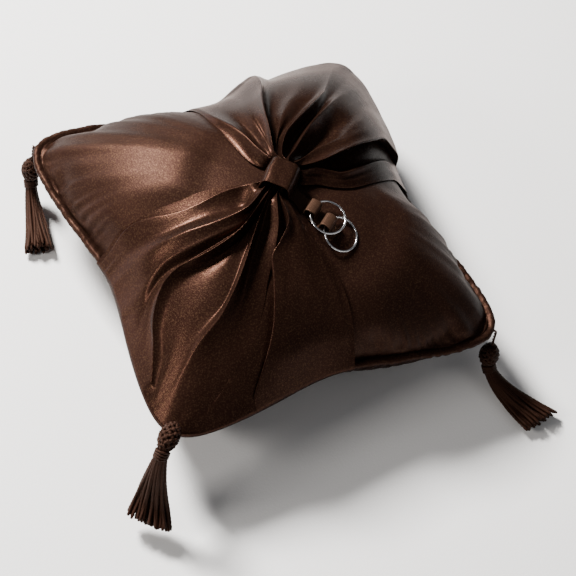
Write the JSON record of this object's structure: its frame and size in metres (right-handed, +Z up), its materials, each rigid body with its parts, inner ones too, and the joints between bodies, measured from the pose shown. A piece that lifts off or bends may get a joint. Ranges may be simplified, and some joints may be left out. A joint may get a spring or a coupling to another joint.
{
  "type": "ring bearer pillow",
  "caption": "Square satin cushion with a gathered diagonal sash and knot, piped edge, corner tassels, and rings held in raised ribbon loops.",
  "frame": {"origin": "centre of the flat face on the underside that the pillow rests on", "axes": "+Z up from the rest face; the seam's sides run along X and Y; the sash runs along the diagonal from (-X, -Y) to (+X, +Y)"},
  "size_m": [0.2545, 0.2661, 0.1083],
  "materials": {
    "satin": "satin",
    "sash_satin": "satin",
    "ribbon": "satin",
    "stuffing": "matte",
    "cotton": "matte",
    "thread": "matte",
    "silver": "polished"
  },
  "bodies": {
    "pillow": {"filling": "stuffing", "top_cover": "satin", "bottom_cover": "satin", "piping_cover": "satin", "piping_cord": "cotton", "sash": "sash_satin", "knot_band": "sash_satin", "ring_ribbon_strap": "ribbon", "ribbon_loop_upper": "ribbon", "ribbon_loop_lower": "ribbon"},
    "ring_upper": {"ring_upper": "silver"},
    "ring_lower": {"ring_lower": "silver"},
    "tassel_left": {"tassel_left_cord": "thread", "tassel_left_head": "thread", "tassel_left_neck": "thread", "tassel_left_skirt": "thread"},
    "tassel_front": {"tassel_front_cord": "thread", "tassel_front_head": "thread", "tassel_front_neck": "thread", "tassel_front_skirt": "thread"},
    "tassel_right": {"tassel_right_cord": "thread", "tassel_right_head": "thread", "tassel_right_neck": "thread", "tassel_right_skirt": "thread"},
    "tassel_back": {"tassel_back_cord": "thread", "tassel_back_head": "thread", "tassel_back_neck": "thread", "tassel_back_skirt": "thread"}
  },
  "joints": [
    {"name": "tassel_left_swing", "type": "hinge", "parent": "pillow", "child": "tassel_left", "pos_m": [-0.09865, 0.09865, 0.043], "axis": [0.7071, 0.7071, 0], "range_deg": [-15, 75]},
    {"name": "tassel_front_swing", "type": "hinge", "parent": "pillow", "child": "tassel_front", "pos_m": [-0.09518, -0.09518, 0.04741], "axis": [-0.7071, 0.7071, 0], "range_deg": [0, 80]},
    {"name": "tassel_right_swing", "type": "hinge", "parent": "pillow", "child": "tassel_right", "pos_m": [0.09865, -0.09865, 0.043], "axis": [-0.7071, -0.7071, 0], "range_deg": [-30, 75]},
    {"name": "tassel_back_swing", "type": "hinge", "parent": "pillow", "child": "tassel_back", "pos_m": [0.09971, 0.09971, 0.043], "axis": [0.7071, -0.7071, 0], "range_deg": [-15, 75]},
    {"name": "ring_upper_flip", "type": "hinge", "parent": "pillow", "child": "ring_upper", "pos_m": [0.00988, -0.022, 0.09642], "axis": [-0.788, -0.6157, 0], "range_deg": [0, 100]},
    {"name": "ring_lower_flip", "type": "hinge", "parent": "pillow", "child": "ring_lower", "pos_m": [0.01426, -0.03184, 0.09347], "axis": [-0.788, -0.6157, 0], "range_deg": [0, 100]}
  ],
  "couplings": [
    {"joint": "ring_lower_flip", "follows": "ring_upper_flip", "ratio": 1}
  ]
}
